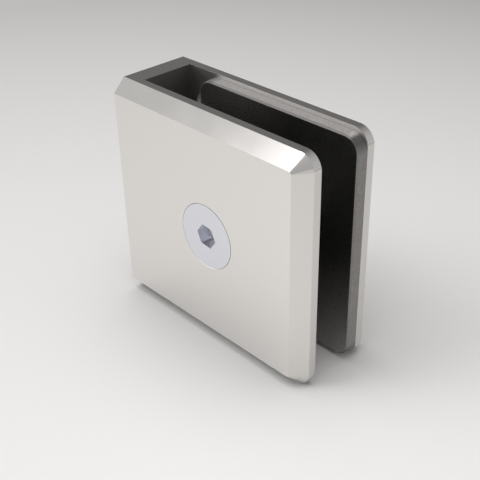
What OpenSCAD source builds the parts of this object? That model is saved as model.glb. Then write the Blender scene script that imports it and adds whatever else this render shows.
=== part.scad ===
// Glass panel clamp: a one-piece U-shaped metal body that screws to a wall and grips
// the edge of a glass panel between a bare cheek and a rubber pad, with one
// countersunk clamp screw through both cheeks and a sleeve round its shank.
//
// Frame: the origin is the centre of the face that lies on the wall. +X runs from the
// wall to the free end, +Y from the screw's head to its tip, and +Z is up.

/* [Body] */
// Height of the body along the wall
body_h = 45; // [38:0.5:70]
// Length of the body from the wall face to the free end
body_l = 46.3; // [40:0.1:80]
// Clear width of the slot between the two cheeks
slot_w = 10.8; // [9:0.1:16]
// Thickness of each cheek
cheek_t = 4.1; // [3.8:0.1:6]
// Thickness of the web that lies on the wall
web_t = 4; // [3:0.1:8]
// Width of the 45 degree bevel round each outer face
bevel = 2.5; // [0.5:0.1:2.8]
// Radius of the cheeks' corners at the free end
corner_r = 3; // [3:0.1:8]

/* [Rubber pad] */
// Thickness of the pad
pad_t = 2.3; // [1:0.1:4]
// Gap between the web and the pad
pad_web_gap = 4.9; // [2:0.1:8]
// How far the pad stays below the body's top and above its bottom
pad_inset = 0.65; // [0:0.05:4]
// Radius of the pad's corners
pad_r = 3; // [1:0.1:5]
// Width of the 45 degree chamfer round the pad's gripping face
pad_edge = 0.3; // [0.1:0.1:0.8]

/* [Clamp screw] */
// Distance of the screw's axis from the wall face
screw_x = 23.7; // [20:0.1:28]
// Nominal diameter of the thread
thread_d = 6; // [4:0.5:6]
// Pitch of the thread
pitch = 1; // [0.7:0.05:1.25]
// Diameter of the countersunk head
head_d = 12.4; // [9:0.1:12.4]
// Width across flats of the hexagon socket
socket_af = 4.06; // [2.5:0.01:4.06]
// Depth of the hexagon socket
socket_depth = 2.3; // [1.5:0.1:2.5]
// Turn of the socket's hexagon about the screw's axis
socket_turn = 6.7; // [0:0.1:60]
// How far the screw's tip stays inside the back cheek's outer face
tip_inset = 1; // [0.2:0.1:1.5]

/* [Sleeve] */
// Outer diameter of the sleeve round the screw's shank
sleeve_d = 10; // [8:0.1:12]
// Play between the sleeve's end and the pad
sleeve_play = 0.1; // [0.05:0.05:1]

/* [Wall screw holes] */
// Distance between the two holes
wall_hole_pitch = 24; // [20:0.5:30]
// Diameter of each hole
wall_hole_d = 5; // [3.5:0.1:5.5]
// Diameter of each hole's countersink
wall_sink_d = 9.6; // [7:0.1:9.6]

/* [Fits] */
// Radial play of the screw in its tapped hole
thread_play = 0.05; // [0.02:0.01:0.1]
// Radial play of the screw in the front cheek and the pad
shank_play = 0.3; // [0.2:0.05:0.6]
// Radial play of the sleeve on the screw
sleeve_bore_play = 0.25; // [0.15:0.05:0.5]
// Radial play of the head in its countersink
head_play = 0.1; // [0.05:0.01:0.3]

/* [Hidden] */
$fn = 96;

body_w = slot_w + 2 * cheek_t;  // over both outer faces
flat_w = body_w - 2 * bevel;    // over the two flat edges that the bevels leave
head_r = head_d / 2;
thread_r = thread_d / 2;
head_h = head_r - thread_r;     // a 90 degree cone
sink_r = head_r + head_play;
shank_hole_r = thread_r + shank_play;
screw_l = body_w - tip_inset;
tip_chamfer = 0.6 * pitch;
socket_cone = 0.4;              // height of the drill point in the socket
pad_x = web_t + pad_web_gap;
pad_l = body_l - pad_x;
pad_h = body_h - 2 * pad_inset;
pad_y = slot_w / 2 - pad_t;     // the pad's gripping face
sleeve_l = slot_w - pad_t - sleeve_play;
cut = 1;                        // how far a cutting tool runs past a face

// A cylinder or cone along +Y that starts at y = 0
module along_y(h, r1, r2) {
    rotate([-90, 0, 0]) cylinder(h = h, r1 = r1, r2 = r2);
}

// Half section of the body across its height, on the side of -Y
module half_section(span) {
    polygon([
        [0, -span / 2], [flat_w / 2, -span / 2], [body_w / 2, bevel - span / 2],
        [body_w / 2, span / 2 - bevel], [flat_w / 2, span / 2], [0, span / 2]
    ]);
}

// The outer form from the mid plane to one cheek's face: bevelled along the top, the
// free end and the bottom, with each rounded corner turned as a cone
module bevelled_half() {
    corner_x = body_l - corner_r;
    corner_z = body_h / 2 - corner_r;
    rotate([90, 0, 90]) mirror([1, 0]) linear_extrude(corner_x) half_section(body_h);
    translate([0, 0, -corner_z]) linear_extrude(2 * corner_z)
        polygon([
            [0, 0], [body_l, 0], [body_l, -flat_w / 2],
            [body_l - bevel, -body_w / 2], [0, -body_w / 2]
        ]);
    for (side = [-1, 1])
        translate([corner_x, 0, side * corner_z]) mirror([0, 1, 0]) {
            along_y(flat_w / 2, corner_r, corner_r);
            translate([0, flat_w / 2, 0]) along_y(bevel, corner_r, corner_r - bevel);
        }
}

module screw_holes() {
    translate([screw_x, -body_w / 2, 0]) {
        along_y(sink_r - shank_hole_r, sink_r, shank_hole_r);
        along_y(body_w / 2, shank_hole_r, shank_hole_r);
    }
    translate([screw_x, 0, 0]) along_y(body_w, thread_r + thread_play, thread_r + thread_play);
}

module wall_holes() {
    sink_h = (wall_sink_d - wall_hole_d) / 2;
    for (side = [-1, 1])
        translate([0, 0, side * wall_hole_pitch / 2]) rotate([0, 90, 0]) {
            translate([0, 0, -cut]) cylinder(h = web_t + 2 * cut, d = wall_hole_d);
            translate([0, 0, web_t - sink_h])
                cylinder(h = sink_h, d1 = wall_hole_d, d2 = wall_sink_d);
        }
}

module clamp_body() {
    color([0.80, 0.78, 0.76])
        difference() {
            union() {
                bevelled_half();
                mirror([0, 1, 0]) bevelled_half();
            }
            translate([web_t, -slot_w / 2, -body_h / 2 - cut])
                cube([body_l, slot_w, body_h + 2 * cut]);
            screw_holes();
            wall_holes();
        }
}

// Section across the pad, lying on its back, with both front edges chamfered
module pad_section(span) {
    polygon([
        [0, 0], [span, 0], [span, pad_t - pad_edge], [span - pad_edge, pad_t],
        [pad_edge, pad_t], [0, pad_t - pad_edge]
    ]);
}

// The pad lying on its back, with the corner at the web and the bottom at the origin
module pad_form() {
    translate([pad_r, 0, 0]) rotate([90, 0, 90])
        linear_extrude(pad_l - 2 * pad_r) pad_section(pad_h);
    translate([0, pad_h - pad_r, 0]) rotate([90, 0, 0])
        linear_extrude(pad_h - 2 * pad_r) pad_section(pad_l);
    for (x = [pad_r, pad_l - pad_r], z = [pad_r, pad_h - pad_r])
        translate([x, z, 0]) {
            cylinder(h = pad_t - pad_edge, r = pad_r);
            translate([0, 0, pad_t - pad_edge])
                cylinder(h = pad_edge, r1 = pad_r, r2 = pad_r - pad_edge);
        }
}

module rubber_pad() {
    color([0.08, 0.08, 0.08])
        difference() {
            translate([pad_x, slot_w / 2, -pad_h / 2]) rotate([90, 0, 0]) pad_form();
            translate([screw_x, pad_y - cut, 0])
                along_y(pad_t + 2 * cut, shank_hole_r, shank_hole_r);
        }
}

module clamp_screw() {
    shank_l = screw_l - head_h - tip_chamfer;
    socket_r = socket_af / (2 * cos(30));
    color([0.80, 0.80, 0.84])
        translate([screw_x, -body_w / 2, 0])
            difference() {
                union() {
                    along_y(head_h, head_r, thread_r);
                    translate([0, head_h, 0]) along_y(shank_l, thread_r, thread_r);
                    translate([0, head_h + shank_l, 0])
                        along_y(tip_chamfer, thread_r, thread_r - tip_chamfer);
                }
                rotate([-90, socket_turn, 0]) translate([0, 0, -cut])
                    cylinder(h = cut + socket_depth, r = socket_r, $fn = 6);
                translate([0, socket_depth, 0]) along_y(socket_cone, socket_af / 2, 0.1);
            }
}

module screw_sleeve() {
    bore_r = thread_r + sleeve_bore_play;
    color([0.85, 0.85, 0.82])
        translate([screw_x, -slot_w / 2, 0])
            difference() {
                along_y(sleeve_l, sleeve_d / 2, sleeve_d / 2);
                translate([0, -cut, 0]) along_y(sleeve_l + 2 * cut, bore_r, bore_r);
            }
}

clamp_body();
rubber_pad();
clamp_screw();
screw_sleeve();
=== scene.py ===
"""Looks of the glass panel clamp: finishes, edge breaks, screw threads, studio and camera.

Everything is in metres in the part's own frame: the origin is the centre of the wall
face, +X runs to the free end of the cheeks, +Y from the screw's head to its tip, +Z up.
"""

import math

import bmesh
import bpy
from mathutils import Matrix, Vector


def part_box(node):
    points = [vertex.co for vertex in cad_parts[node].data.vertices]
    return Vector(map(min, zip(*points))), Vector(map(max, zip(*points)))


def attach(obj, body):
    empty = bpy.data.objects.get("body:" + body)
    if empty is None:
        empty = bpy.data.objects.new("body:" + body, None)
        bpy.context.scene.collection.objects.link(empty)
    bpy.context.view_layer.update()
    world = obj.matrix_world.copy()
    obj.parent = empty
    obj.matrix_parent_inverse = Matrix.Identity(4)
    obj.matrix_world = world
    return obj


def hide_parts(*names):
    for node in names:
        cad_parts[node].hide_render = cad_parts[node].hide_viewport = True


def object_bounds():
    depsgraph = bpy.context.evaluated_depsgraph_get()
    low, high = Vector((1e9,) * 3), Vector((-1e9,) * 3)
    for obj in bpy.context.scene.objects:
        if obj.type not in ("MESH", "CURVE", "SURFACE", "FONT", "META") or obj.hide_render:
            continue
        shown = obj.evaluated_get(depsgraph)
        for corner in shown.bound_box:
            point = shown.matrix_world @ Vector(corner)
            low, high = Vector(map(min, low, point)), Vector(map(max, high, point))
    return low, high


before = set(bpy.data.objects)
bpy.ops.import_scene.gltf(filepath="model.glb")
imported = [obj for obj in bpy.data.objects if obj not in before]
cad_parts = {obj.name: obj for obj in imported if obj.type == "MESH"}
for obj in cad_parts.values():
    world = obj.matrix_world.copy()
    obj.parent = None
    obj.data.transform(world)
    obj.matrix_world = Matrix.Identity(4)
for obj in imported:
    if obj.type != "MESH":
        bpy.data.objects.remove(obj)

MM = 0.001
cad_low, cad_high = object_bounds()
body_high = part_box("clamp_body")[1]
screw_low, screw_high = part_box("clamp_screw")
pad_low, pad_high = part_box("rubber_pad")

# --- Sizes of what is modelled here -----------------------------------------------

BODY_BREAK = 0.05 * MM            # breaks of the edges that CAD leaves sharp
PAD_BREAK = 0.03 * MM
SLEEVE_BREAK = 0.2 * MM
SQUARE_EDGES = 50                 # degrees: leaves the body's 45 degree edges sharp

PITCH = 1.0 * MM                  # M6 coarse thread
THREAD_R = 3.0 * MM               # over the thread's crests
THREAD_DEPTH = 0.6134 * PITCH     # crest to root of the screw's thread
TAPPED_DEPTH = 0.5413 * PITCH     # crest to root of the hole's thread
ROOT_FLAT = 1 / 8                 # share of the pitch
CREST_FLAT = 1 / 4
THREAD_PLAY = 0.04 * MM           # between the two threads' flanks
THREAD_STEPS = 16                 # rings to a pitch
RUN_OUT = 0.8 * PITCH             # where the thread dies away below the head
TAPPED_R = 3.05 * MM              # wall of the hole in the far cheek
TAPPED_INSET = 0.05 * MM          # of the hole's thread from the cheek's faces
TAPPED_ROOT = 0.03 * MM           # that it reaches into the wall

SCREW_AXIS = Vector(((screw_low.x + screw_high.x) / 2, 0.0, (screw_low.z + screw_high.z) / 2))
HEAD_Y = screw_low.y
HEAD_R = (screw_high.x - screw_low.x) / 2
HEAD_FIT = 0.1 * MM               # between the head and its countersink
HEAD_LAND = 0.01 * MM             # left below the head's edge
RIM_BREAK = 0.005 * MM            # across the head's edge
RIM_DEPTH = 0.004 * MM
TIP_CHAMFER = 0.6 * MM
SOCKET_FLATS = 4.06 * MM
SOCKET_DEPTH = 2.3 * MM
SOCKET_TURN = math.radians(6.7)
SOCKET_MOUTH = 0.01 * MM          # break of the socket's edge
SOCKET_FLOOR_R = SOCKET_FLATS / 2 - 0.02 * MM
DRILL_CONE = 0.4 * MM             # what the drill left in the socket's floor
DRILL_POINT_R = 0.05 * MM
TURN = 96                         # points round each ring

SAME_POINT = 0.0002 * MM
NO_LENGTH = 0.0001 * MM
WELD_GAP = 0.0005 * MM
FLAT_TURN = math.radians(0.6)     # faces that turn less lie in one plane
SMOOTH_TURN = math.radians(12)    # shading runs over an edge that turns less


# --- Materials --------------------------------------------------------------------

# Noises and rings, by their scale per metre and the height that they emboss
GRAIN = (0.3, 0.7)                # most of a noise lies between these
CLOUD_SCALE = 180.0
BLASTED_SCALE, BLASTED_HEIGHT = 9000.0, 0.002 * MM
TURNED_SCALE, TURNED_HEIGHT = 8000.0, 0.003 * MM
RING_SCALE, RING_HEIGHT = 1500.0, 0.002 * MM
RUBBER_SCALE, RUBBER_HEIGHT, WORN_HEIGHT = 2600.0, 0.03 * MM, 0.01 * MM
NYLON_SCALE, NYLON_HEIGHT = 900.0, 0.01 * MM

# Places where a finish, a painted shade or a painted highlight changes, each from where the change
# starts to where it ends.
# FACES say how far the surface's normal points along an axis, and TURNS are its angle.
# Painted shade on the free end:
END_SHADE_FACES = (0.0, 0.6)            # +X
# Painted highlight on the rounding of the free corners:
CORNER_HIGHLIGHT_FACES = (0.72, 0.82)       # +X: the rounding of the free corners
CORNER_HIGHLIGHT_GROWS_FACES = (0.82, 0.95)
CORNER_HIGHLIGHT_LEAST = 0.6                # before it grows
CORNER_HIGHLIGHT_END_FACES = (0.998, 0.9999)
# The slot: rougher, and darker with painted shade at its root and on the lips of its edges, and a
# little darker on its wall beyond the root:
SLOT_WALL = pad_high.y + BODY_BREAK    # the pad's back lies on the slot's wall
SLOT_ENDS = (SLOT_WALL + 0.01 * MM, SLOT_WALL + 0.03 * MM)
SLOT_TOP_FACES = (0.95, 0.98)     # +Z or -Z
SLOT_INNER_FACES = (-0.5, -0.3)   # +X: all but the wall side
SLOT_LIP_FACES = (0.2, 0.35)      # +Z or -Z
SLOT_LIP_SHADE = 0.4
ROOT_SHADE_ENDS = (pad_low.x + 1.6 * MM, pad_low.x + 3.2 * MM)
SHADE_BEYOND_ROOT = 0.95
# The screw's bored hole, rougher and darker with painted shade:
BORE_RIM = (HEAD_R + 0.9 * HEAD_FIT, HEAD_R + HEAD_FIT)
BORE_ENDS = (HEAD_Y + 7.0 * MM, HEAD_Y + 8.0 * MM)

# The screw's socket, rougher and darker with painted shade:
SOCKET_STARTS = (HEAD_Y + 0.01 * MM, HEAD_Y + 0.06 * MM)
SOCKET_RIM = (0.6 * SOCKET_FLATS, 0.62 * SOCKET_FLATS)

GRIP_FACES = (0.85, 0.93)         # -Y: the pad's gripping face
# The pad's cut edges, with painted light and shade by which way they face:
CHAMFER_FACES = (0.3, 0.5)        # -Y
CHAMFER_TURNS = (0.3, 1.0)        # radians from the top towards the free end, as all these
CHAMFER_SHADE = 0.5
TOP_HIGHLIGHT_TURNS = (math.radians(3), math.radians(10))
TOP_HIGHLIGHT_SHADE = 1.3
TOP_TURNS = (math.radians(14), math.radians(32))
CORNER_TURNS = (math.radians(52), math.radians(92))
PAD_SHADOW_ENDS = (pad_low.x + 2.6 * MM, pad_low.x + 4.0 * MM)
PAD_SHADOW_SHADE = 0.35
# Painted light on the gripping face near its root and its foot:
ROOT_ENDS = (20.0 * MM, 32.0 * MM)
FOOT_ENDS = (pad_low.z, pad_low.z + 24.0 * MM)
WORN_ENDS = (pad_low.z + 10.0 * MM, pad_low.z + 26.0 * MM)
EDGE_MOTTLE, GRIP_MOTTLE = (0.75, 1.25), (0.6, 1.4)
EDGE_ROUGHNESS, GRIP_ROUGHNESS = (0.5, 0.7), (0.25, 0.35)


class Nodes:
    """A node tree, built a node at a time."""

    def __init__(self, tree):
        self.tree = tree

    def add(self, kind, settings=None, **inputs):
        node = self.tree.nodes.new(kind)
        for name, value in (settings or {}).items():
            setattr(node, name, value)
        for name, value in inputs.items():
            self.feed(node.inputs[name.replace("_", " ")], value)
        return node

    def feed(self, socket, value):
        """Gives a socket a plain value or another node's output."""
        if isinstance(value, bpy.types.NodeSocket):
            self.tree.links.new(value, socket)
        else:
            socket.default_value = value

    def math(self, operation, *values):
        node = self.add("ShaderNodeMath", {"operation": operation})
        for socket, value in zip(node.inputs, values):
            self.feed(socket, value)
        return node.outputs[0]

    def vector(self, operation, first, second, output="Vector"):
        node = self.add("ShaderNodeVectorMath", {"operation": operation})
        self.feed(node.inputs[0], first)
        self.feed(node.inputs["Scale" if operation == "SCALE" else 1], second)
        return node.outputs[output]

    def length(self, vector):
        return self.vector("LENGTH", vector, (0.0, 0.0, 0.0), "Value")

    def parts(self, vector):
        """The x, y and z of a vector."""
        return self.add("ShaderNodeSeparateXYZ", Vector=vector).outputs

    def spread(self, value, low, high, out_low=0.0, out_high=1.0, kind="LINEAR"):
        """Maps low..high to out_low..out_high, and holds the ends."""
        node = self.add("ShaderNodeMapRange", {"interpolation_type": kind}, Value=value,
                        From_Min=low, From_Max=high, To_Min=out_low, To_Max=out_high)
        return node.outputs["Result"]

    def below(self, value, low, high):
        """1 up to low, and 0 from high."""
        return self.spread(value, low, high, 1.0, 0.0)

    def mix(self, share, first, second):
        """first where share is 0, second where it is 1."""
        return self.spread(share, 0.0, 1.0, first, second)

    def product(self, first, *others):
        for other in others:
            first = self.math("MULTIPLY", first, other)
        return first

    def total(self, first, *others):
        for other in others:
            first = self.math("ADD", first, other)
        return first


class Shader(Nodes):
    """The node tree of one material."""

    def __init__(self, name):
        self.material = bpy.data.materials.new(name)
        self.material.use_nodes = True
        super().__init__(self.material.node_tree)
        self.surface = self.tree.nodes["Principled BSDF"]

    def set(self, **values):
        for socket, value in values.items():
            self.feed(self.surface.inputs[socket.replace("_", " ")], value)

    def set_colour(self, colour, shade):
        self.set(Base_Color=self.vector("SCALE", colour, shade))

    def place(self):
        """Object coordinates, which are metres in the part's frame."""
        return self.add("ShaderNodeTexCoord").outputs["Object"]

    def normal(self):
        """The x, y and z of the surface's normal."""
        return self.parts(self.add("ShaderNodeNewGeometry").outputs["Normal"])

    def squared_normal(self, least=0.02):
        """The surface's normal, with the faces that are square to an axis kept exactly so."""
        kept = {}
        for axis, value in zip("XYZ", self.normal()):
            turned = self.math("GREATER_THAN", self.math("ABSOLUTE", value), least)
            kept[axis] = self.product(value, turned)
        vector = self.add("ShaderNodeCombineXYZ", **kept).outputs["Vector"]
        return self.vector("NORMALIZE", vector, (0.0, 0.0, 0.0))

    def from_axis(self, centre):
        """What lies between the place and a line along Y through a point."""
        offset = self.vector("SUBTRACT", self.place(), centre)
        return self.vector("MULTIPLY", offset, (1.0, 0.0, 1.0))

    def noise(self, scale, detail=4.0, roughness=0.5):
        node = self.add("ShaderNodeTexNoise", Vector=self.place(),
                        Scale=scale, Detail=detail, Roughness=roughness)
        return node.outputs["Fac"]

    def vary(self, noise, low, high):
        return self.spread(noise, *GRAIN, low, high)

    def bump(self, height, distance, under=None):
        node = self.add("ShaderNodeBump", Height=height, Distance=distance)
        if under is not None:
            self.feed(node.inputs["Normal"], under)
        return node.outputs["Normal"]


def satin_metal(name, colour, roughness, cloud, end_painted_shade, corner_highlight_shade,
                cast_roughness, root_painted_shade, bored_roughness, bore_painted_shade):
    """Bead-blasted and plated metal: an even, very fine grain with slight cloudiness.
    The free end is darker with painted shade, and its round corners carry a painted highlight.
    The slot's root is rougher, as cast, and darker with painted shade, and the screw's hole is
    rougher, as bored, and darker with painted shade."""
    shader = Shader(name)
    normal = shader.normal()
    place = shader.parts(shader.place())
    end_on = normal["X"]
    upright = shader.math("ABSOLUTE", normal["Z"])

    # Painted shade: the free end is darker
    end = shader.spread(end_on, *END_SHADE_FACES, 1.0, end_painted_shade)
    # Painted highlight on the rounded free corners
    corner_highlight = shader.product(
        shader.spread(end_on, *CORNER_HIGHLIGHT_FACES),
        shader.spread(end_on, *CORNER_HIGHLIGHT_GROWS_FACES, CORNER_HIGHLIGHT_LEAST, 1.0),
        shader.below(end_on, *CORNER_HIGHLIGHT_END_FACES))

    # The slot: rougher, with painted shade at its root and on its lips
    in_slot = shader.product(
        shader.below(shader.math("ABSOLUTE", place["Y"]), *SLOT_ENDS),
        shader.below(upright, *SLOT_TOP_FACES), shader.spread(end_on, *SLOT_INNER_FACES))
    root = shader.spread(place["X"], *ROOT_SHADE_ENDS, root_painted_shade, SHADE_BEYOND_ROOT)
    lip_shade = shader.spread(upright, *SLOT_LIP_FACES, 1.0, SLOT_LIP_SHADE)

    # The bored hole: rougher, and darker with painted shade
    bored = shader.product(
        shader.below(shader.length(shader.from_axis(SCREW_AXIS)), *BORE_RIM),
        shader.below(place["Y"], *BORE_ENDS))

    shader.set_colour(colour, shader.product(
        end, shader.mix(in_slot, 1.0, shader.product(root, lip_shade)),
        shader.mix(bored, 1.0, bore_painted_shade), shader.mix(corner_highlight, 1.0, corner_highlight_shade)))
    clouds = shader.noise(CLOUD_SCALE, detail=2.0)
    blasted = shader.vary(clouds, roughness - cloud, roughness + cloud)
    cast = shader.mix(in_slot, blasted, cast_roughness)
    grain = shader.noise(BLASTED_SCALE, detail=2.0, roughness=0.6)
    shader.set(Metallic=1.0, Roughness=shader.mix(bored, cast, bored_roughness),
               Normal=shader.bump(grain, BLASTED_HEIGHT, under=shader.squared_normal()))
    return shader.material


def turned_metal(name, colour, roughness, socket_roughness, socket_painted_shade):
    """A screw's head: the satin grain with fine turning rings round its axis, and the
    rougher punched metal of its socket, darker with painted shade."""
    shader = Shader(name)
    across = shader.from_axis(SCREW_AXIS)
    # The socket: rougher, and darker with painted shade
    punched = shader.product(
        shader.spread(shader.parts(shader.place())["Y"], *SOCKET_STARTS),
        shader.below(shader.length(across), *SOCKET_RIM))
    shader.set_colour(colour, shader.mix(punched, 1.0, socket_painted_shade))
    rings = shader.add("ShaderNodeTexWave", {"wave_type": "RINGS", "rings_direction": "SPHERICAL"},
                       Vector=across, Scale=RING_SCALE, Distortion=0.6, Detail=2.0)
    grain = shader.bump(shader.noise(TURNED_SCALE, detail=2.0), TURNED_HEIGHT)
    shader.set(Metallic=1.0, Roughness=shader.mix(punched, roughness, socket_roughness),
               Normal=shader.bump(rings.outputs["Fac"], RING_HEIGHT, under=grain))
    return shader.material


def pad_rubber(name, tint, face_black, root_painted_light, foot_painted_light, top_grey, corner_grey, end_grey):
    """Sheet rubber: black and a little shiny on its gripping face, with painted light at
    its root and foot, and worn smooth at its foot. It is grey and mottled on its cut edges,
    with painted light and shade by which way the edge faces: a painted highlight near the
    top's turn, painted shade round the corner, on the end and on the front chamfer, and a
    painted shadow near the root."""
    shader = Shader(name)
    normal = shader.normal()
    place = shader.parts(shader.place())
    facing = shader.math("MULTIPLY", normal["Y"], -1.0)
    grip = shader.spread(facing, *GRIP_FACES)
    grain = shader.noise(RUBBER_SCALE, detail=3.0, roughness=0.6)

    turn = shader.math("ARCTAN2", shader.math("ABSOLUTE", normal["X"]),
                       shader.math("ABSOLUTE", normal["Z"]))
    # Painted light and shade by facing: a painted highlight near the top's turn, painted shade
    # round the corner and on the end
    top = shader.spread(turn, *TOP_HIGHLIGHT_TURNS, top_grey, TOP_HIGHLIGHT_SHADE * top_grey)
    corner = shader.spread(turn, *CORNER_TURNS, corner_grey, end_grey)
    cut = shader.mix(shader.spread(turn, *TOP_TURNS, kind="SMOOTHSTEP"), top, corner)
    # Painted shade on the front chamfer, and a painted shadow near the root
    chamfer = shader.product(
        shader.spread(facing, *CHAMFER_FACES), shader.below(turn, *CHAMFER_TURNS))
    edge = shader.product(
        cut, shader.vary(grain, *EDGE_MOTTLE),
        shader.spread(place["X"], *PAD_SHADOW_ENDS, PAD_SHADOW_SHADE, 1.0),
        shader.mix(chamfer, 1.0, CHAMFER_SHADE))

    # Painted light on the gripping face near its root and its foot
    root = shader.below(place["X"], *ROOT_ENDS)
    foot = shader.below(place["Z"], *FOOT_ENDS)
    painted_light = shader.math("MAXIMUM", shader.product(root, root_painted_light),
                        shader.product(foot, foot, foot_painted_light))
    black = shader.total(painted_light, face_black)
    worn = shader.product(grip, shader.below(place["Z"], *WORN_ENDS))
    speckled = shader.product(black, shader.vary(grain, *GRIP_MOTTLE))

    shader.set_colour(tint, shader.mix(grip, edge, shader.mix(worn, speckled, black)))
    shader.set(Roughness=shader.mix(grip, shader.vary(grain, *EDGE_ROUGHNESS),
                                    shader.vary(grain, *GRIP_ROUGHNESS)),
               Specular_IOR_Level=0.9,
               Normal=shader.bump(grain, shader.mix(worn, RUBBER_HEIGHT, WORN_HEIGHT)))
    return shader.material


def nylon(name, colour):
    """Natural nylon, a little see-through, with the faint ripple of a moulded piece."""
    shader = Shader(name)
    shader.set(Base_Color=(*colour, 1.0), Roughness=0.42, Subsurface_Weight=0.15,
               Subsurface_Radius=(1.0 * MM, 1.0 * MM, 0.9 * MM),
               Normal=shader.bump(shader.noise(NYLON_SCALE), NYLON_HEIGHT))
    return shader.material


# --- Meshes -----------------------------------------------------------------------

def smooth_up_to(angle):
    """Node group that lets shading run over an edge only if it turns by less than angle."""
    group = bpy.data.node_groups.new("smooth_small_angles", "GeometryNodeTree")
    group.interface.new_socket("Geometry", in_out="INPUT", socket_type="NodeSocketGeometry")
    group.interface.new_socket("Geometry", in_out="OUTPUT", socket_type="NodeSocketGeometry")
    nodes = Nodes(group)
    source = nodes.add("NodeGroupInput").outputs["Geometry"]
    turn = nodes.add("GeometryNodeInputMeshEdgeAngle").outputs["Unsigned Angle"]
    gentle = nodes.add("FunctionNodeCompare", {"operation": "LESS_THAN"}, A=turn, B=angle)
    smooth = nodes.add("GeometryNodeSetShadeSmooth", {"domain": "EDGE"}, Geometry=source,
                       Shade_Smooth=gentle.outputs["Result"])
    nodes.add("NodeGroupOutput", Geometry=smooth.outputs["Geometry"])
    return group


def dress(node, material, edge, sharp=25):
    """Gives a CAD node its material, and the small break of a real part to the edges that
    turn by more than so many degrees."""
    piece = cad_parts[node]
    mesh = piece.data
    mesh.materials.clear()
    mesh.materials.append(material)
    for name in ("custom_normal", "sharp_edge", "sharp_face"):
        if name in mesh.attributes:
            mesh.attributes.remove(mesh.attributes[name])
    mesh.polygons.foreach_set("use_smooth", [True] * len(mesh.polygons))
    weld = piece.modifiers.new("weld", "WELD")
    weld.merge_threshold = WELD_GAP
    planes = piece.modifiers.new("planes", "DECIMATE")
    planes.decimate_type = "DISSOLVE"
    planes.angle_limit = FLAT_TURN
    bevel = piece.modifiers.new("edge_break", "BEVEL")
    bevel.width = edge
    bevel.segments = 2
    bevel.limit_method = "ANGLE"
    bevel.angle_limit = math.radians(sharp)
    bevel.use_clamp_overlap = False
    bevel.loop_slide = False
    piece.modifiers.new("smooth_edges", "NODES").node_group = smooth_edges
    shading = piece.modifiers.new("flat_faces", "WEIGHTED_NORMAL")
    shading.mode = "FACE_AREA"
    shading.weight = 100
    shading.keep_sharp = True


def mesh_piece(name, rings, material, closed_ends=(True, True), sharp=30):
    """A tube through rings of points, each as long as the next, with its ends capped."""
    mesh = bmesh.new()
    rows = [[mesh.verts.new(point) for point in ring] for ring in rings]
    count = len(rows[0])
    for low, high in zip(rows, rows[1:]):
        for i in range(count):
            j = (i + 1) % count
            mesh.faces.new((low[i], low[j], high[j], high[i]))
    for row, capped in zip((rows[0], rows[-1]), closed_ends):
        if capped:
            mesh.faces.new(row)
    bmesh.ops.remove_doubles(mesh, verts=mesh.verts, dist=SAME_POINT)
    bmesh.ops.dissolve_degenerate(mesh, edges=mesh.edges, dist=NO_LENGTH)
    bmesh.ops.recalc_face_normals(mesh, faces=mesh.faces)
    data = bpy.data.meshes.new(name)
    mesh.to_mesh(data)
    mesh.free()
    data.materials.append(material)
    data.polygons.foreach_set("use_smooth", [True] * len(data.polygons))
    data.set_sharp_from_angle(angle=math.radians(sharp))
    piece = bpy.data.objects.new(name, data)
    bpy.context.scene.collection.objects.link(piece)
    return piece


def round_point(radius, angle, y):
    return SCREW_AXIS + Vector((radius * math.cos(angle), y, -radius * math.sin(angle)))


def circle(radius, y):
    return [round_point(radius, math.tau * i / TURN, y) for i in range(TURN)]


def hexagon(flats, y):
    """A ring on the socket's hexagon: as many points as a circle has, so that they join."""
    half_side = math.pi / 6
    points = []
    for i in range(TURN):
        angle = math.tau * i / TURN
        from_flat = (angle + half_side) % (2 * half_side) - half_side
        reach = flats / 2 / math.cos(from_flat)
        points.append(round_point(reach, angle + SOCKET_TURN + half_side, y))
    return points


def thread_depth(turns, depth):
    """How far a 60 degree thread lies below its crest, at a place counted in pitches."""
    flank = abs(turns % 1.0 - 0.5) * 2        # 1 at the crest, 0 at the root
    slope = (flank - ROOT_FLAT) / (1 - ROOT_FLAT - CREST_FLAT)
    return depth * (1 - min(max(slope, 0.0), 1.0))


def threaded_rings(start, end, radius_at):
    """Rings that follow the thread's helix between two flat ends."""
    rings = []
    step = PITCH / THREAD_STEPS
    for j in range(-THREAD_STEPS, int((end - start) / step) + THREAD_STEPS + 1):
        ring = []
        for i in range(TURN):
            y = min(max(start + step * j + PITCH * i / TURN, start), end)
            ring.append(round_point(radius_at(y, i / TURN), math.tau * i / TURN, y))
        rings.append(ring)
    return rings


def make_screw(material):
    """The countersunk screw with its socket, run-out, thread and chamfered tip."""
    neck = HEAD_Y + HEAD_R - THREAD_R
    tip = screw_high.y
    socket_floor = HEAD_Y + SOCKET_DEPTH
    rim = HEAD_R - HEAD_LAND

    def radius_at(y, turn):
        cut = thread_depth(y / PITCH - turn, THREAD_DEPTH)
        cut *= min(max((y - neck) / RUN_OUT, 0.0), 1.0)
        chamfer = max(y - (tip - TIP_CHAMFER), 0.0)
        return min(THREAD_R - cut, THREAD_R - chamfer)

    socket = [
        circle(DRILL_POINT_R, socket_floor + DRILL_CONE),
        circle(SOCKET_FLOOR_R, socket_floor),
        hexagon(SOCKET_FLATS, socket_floor),
        hexagon(SOCKET_FLATS, HEAD_Y + SOCKET_MOUTH),
        hexagon(SOCKET_FLATS + 2 * SOCKET_MOUTH, HEAD_Y),
    ]
    head = [
        circle(rim - RIM_BREAK, HEAD_Y),
        circle(rim, HEAD_Y + RIM_DEPTH),
        circle(rim, HEAD_Y + HEAD_LAND),
    ]
    tip_end = [circle((THREAD_R - THREAD_DEPTH) / 2, tip)]
    rings = socket + head + threaded_rings(neck, tip, radius_at) + tip_end
    return mesh_piece("clamp_screw_threaded", rings, material)


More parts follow.
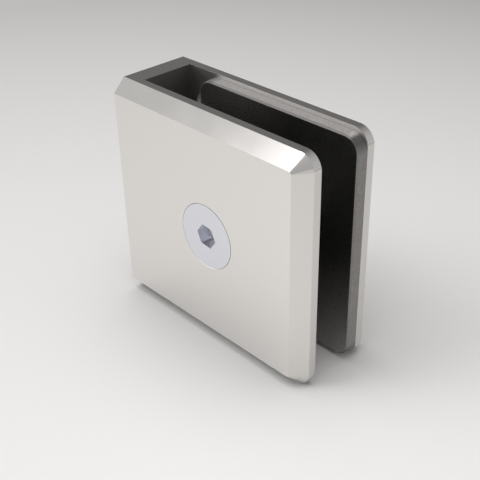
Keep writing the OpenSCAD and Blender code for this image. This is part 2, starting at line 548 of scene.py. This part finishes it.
def make_tapped_thread(material):
    """The thread cut in the far cheek, which starts just inside each of its faces."""
    start = pad_high.y + TAPPED_INSET
    end = body_high.y - TAPPED_INSET
    wall = TAPPED_R + TAPPED_ROOT
    crest = THREAD_R - TAPPED_DEPTH + THREAD_PLAY
    lead = TAPPED_R - crest

    def radius_at(y, turn):
        ridge = THREAD_R + THREAD_PLAY - thread_depth(y / PITCH - turn, THREAD_DEPTH)
        mouth = TAPPED_R - min(y - start, end - y, lead)
        return max(ridge, crest, mouth)

    rings = [circle(wall, end), circle(wall, start)]
    rings += threaded_rings(start, end, radius_at)
    rings.append(circle(wall, end))
    return mesh_piece("tapped_hole_thread", rings, material, closed_ends=(False, False))


# --- Studio and camera ------------------------------------------------------------

FLOOR_SIZE = 8.0
# The floor's painted pool of light:
FLOOR_POOL_BRIGHT = 0.905
FLOOR_POOL_MIDDLE = (51.0 * MM, -19.0 * MM, 0.0)    # where the paper is lightest
FLOOR_FADE = 1.35                 # how much darker it gets per metre from there
FLOOR_BACK_FADE = 0.7             # and per metre towards +Y
FLOOR_REACH = 0.25                # metres, over which it fades
FLOOR_FRONT = -0.1                # where the fade towards +Y starts
FLOOR_FAR = (0.3, 0.6)            # metres, over which it gets as light as the walls
FLOOR_FAR_LIFT = 0.2
FLOOR_TINT = (1.0, 0.989, 0.977)

# Bearings are in degrees from -X towards -Y, and heights are the Z of the direction.
# A light's edge is as soft as EDGE_SOFT on either side of its bearing.
WALLS_FACE = (0.5, -0.87, 0.0)    # away from the dim side
WALLS_TURN = (-0.8, -0.4)
DIM_WALL, LIGHT_WALL = 0.163, 0.53
EDGE_SOFT = 3.0
SIDE_EDGE, SIDE_END = 36.1, 72.0
SIDE_FOOT, SIDE_TOP = (0.4, 0.45), (0.8, 0.9)
SIDE_LIGHT, SIDE_MOST = 0.49, 2.0
SIDE_GROWTH = 1.49                # per degree, up to the brightest
SKIRT = (18.0, 56.0)              # the lower part of the softbox
SKIRT_FOOT, SKIRT_TOP = (0.1, 0.15), (0.37, 0.42)
SKIRT_LIGHT = 4.0
CEILING = (-0.2, -0.05, 1.0)
CEILING_LIGHT = 1.2
CEILING_REACH = (24.0, 41.0)      # degrees from its middle, where it ends

BEARING, ELEVATION, ROLL = 47.0, 32.13, -1.29    # the camera's, in degrees
DISTANCE = 159.22 * MM
AIM_RIGHT, AIM_UP = -0.13 * MM, -4.63 * MM       # of the middle that it looks at
MIDDLE = (22.5 * MM, 0.0, 0.0)
SENSOR_WIDTH, LENS = 36.0, 65.53
CLIP = (0.005, 50.0)


def make_floor():
    """A sheet of studio paper with a painted pool of light: lightest beside the clamp's free end,
    darker away from it and towards +Y, and lighter again far out.
    """
    mesh = bmesh.new()
    bmesh.ops.create_grid(mesh, x_segments=1, y_segments=1, size=FLOOR_SIZE / 2)
    data = bpy.data.meshes.new("studio_floor")
    mesh.to_mesh(data)
    mesh.free()
    shader = Shader("studio_floor")
    distance = shader.length(shader.vector("SUBTRACT", shader.place(), FLOOR_POOL_MIDDLE))
    light = shader.total(
        shader.spread(distance, 0.0, FLOOR_REACH,
                      FLOOR_POOL_BRIGHT, FLOOR_POOL_BRIGHT - FLOOR_REACH * FLOOR_FADE),
        shader.spread(shader.parts(shader.place())["Y"], FLOOR_FRONT, FLOOR_REACH,
                      -FLOOR_FRONT * FLOOR_BACK_FADE, -FLOOR_REACH * FLOOR_BACK_FADE),
        shader.spread(distance, *FLOOR_FAR, 0.0, FLOOR_FAR_LIFT))
    shader.set_colour(FLOOR_TINT, light)
    shader.set(Roughness=0.9, Specular_IOR_Level=0.1)
    data.materials.append(shader.material)
    floor = bpy.data.objects.new("studio_floor", data)
    floor.location = (0.0, 0.0, cad_low.z)
    bpy.context.scene.collection.objects.link(floor)


def make_world():
    """The studio round the clamp: light walls, a dim side behind the far cheek, a tall
    softbox with a low skirt to the left of the screw's head, and a ceiling panel."""
    world = bpy.data.worlds.new("studio")
    bpy.context.scene.world = world
    world.use_nodes = True
    nodes = Nodes(world.node_tree)
    direction = nodes.add("ShaderNodeTexCoord").outputs["Generated"]
    height = nodes.parts(direction)["Z"]
    turned = nodes.parts(nodes.vector("SCALE", direction, -1.0))
    bearing = nodes.math("DEGREES", nodes.math("ARCTAN2", turned["Y"], turned["X"]))

    def towards(*to):
        return nodes.vector("DOT_PRODUCT", direction, Vector(to).normalized(), "Value")

    def past(edge):
        return nodes.spread(bearing, edge - EDGE_SOFT, edge + EDGE_SOFT)

    def short_of(edge):
        return nodes.below(bearing, edge - EDGE_SOFT, edge + EDGE_SOFT)

    walls = nodes.spread(towards(*WALLS_FACE), *WALLS_TURN, DIM_WALL, LIGHT_WALL)
    inwards = nodes.math("SUBTRACT", bearing, SIDE_EDGE)
    rise = nodes.product(nodes.math("POWER", SIDE_GROWTH, inwards), SIDE_LIGHT)
    softbox = nodes.product(
        nodes.math("MINIMUM", rise, SIDE_MOST), short_of(SIDE_END),
        nodes.spread(height, *SIDE_FOOT), nodes.below(height, *SIDE_TOP))
    skirt = nodes.product(
        past(SKIRT[0]), short_of(SKIRT[1]),
        nodes.spread(height, *SKIRT_FOOT), nodes.below(height, *SKIRT_TOP), SKIRT_LIGHT)
    inner, outer = (math.cos(math.radians(reach)) for reach in CEILING_REACH)
    ceiling = nodes.product(
        nodes.spread(towards(*CEILING), outer, inner, kind="SMOOTHSTEP"), CEILING_LIGHT)
    light = nodes.total(walls, softbox, skirt, ceiling)
    background = nodes.tree.nodes["Background"]
    nodes.feed(background.inputs["Color"], nodes.vector("SCALE", (1.0, 1.0, 1.0), light))


def make_camera():
    """The camera, from its bearing, elevation and roll about the clamp."""
    azimuth, elevation, roll = (math.radians(v) for v in (BEARING, ELEVATION, ROLL))
    back = Vector((math.sin(azimuth) * math.cos(elevation),
                   -math.cos(azimuth) * math.cos(elevation), math.sin(elevation)))
    level = Vector((math.cos(azimuth), math.sin(azimuth), 0.0))
    right = math.cos(roll) * level + math.sin(roll) * back.cross(level)
    up = back.cross(right)
    lens = bpy.data.cameras.new("camera")
    lens.sensor_width = SENSOR_WIDTH
    lens.lens = LENS
    lens.clip_start, lens.clip_end = CLIP
    camera = bpy.data.objects.new("camera", lens)
    stand = Vector(MIDDLE) + back * DISTANCE + right * AIM_RIGHT + up * AIM_UP
    turn = Matrix((right, up, back)).transposed()
    camera.matrix_world = Matrix.Translation(stand) @ turn.to_4x4()
    bpy.context.scene.collection.objects.link(camera)
    bpy.context.scene.camera = camera


# --- Putting it together ----------------------------------------------------------

bpy.context.scene.view_settings.view_transform = "Standard"
bpy.context.scene.cycles.caustics_reflective = False
bpy.context.scene.cycles.caustics_refractive = False

smooth_edges = smooth_up_to(SMOOTH_TURN)
# The metal's shade values darken it as painted shade, and the corner value above 1 is a painted
# highlight.
body_metal = satin_metal(
    "satin_nickel", (0.818, 0.793, 0.770), roughness=0.13, cloud=0.015, end_painted_shade=0.85,
    corner_highlight_shade=1.12, cast_roughness=0.4, root_painted_shade=0.5, bored_roughness=0.55,
    bore_painted_shade=0.85)
screw_metal = turned_metal(
    "screw_steel", (0.772, 0.779, 0.83), roughness=0.15, socket_roughness=0.3,
    socket_painted_shade=0.95)
# The pad's root and foot values are painted light, and its edge greys are painted light and shade
# by facing.
rubber = pad_rubber(
    "pad_rubber", (1.02, 0.96, 0.92), face_black=0.008, root_painted_light=0.026, foot_painted_light=0.21,
    top_grey=0.31, corner_grey=0.058, end_grey=0.222)
dress("clamp_body", body_metal, BODY_BREAK, SQUARE_EDGES)
dress("rubber_pad", rubber, PAD_BREAK)
dress("screw_sleeve", nylon("sleeve_nylon", (0.80, 0.80, 0.76)), SLEEVE_BREAK)

screw = make_screw(screw_metal)
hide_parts("clamp_screw")
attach(screw, "screw")

tapped_thread = make_tapped_thread(body_metal)
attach(tapped_thread, "clamp")

make_floor()
make_world()
make_camera()
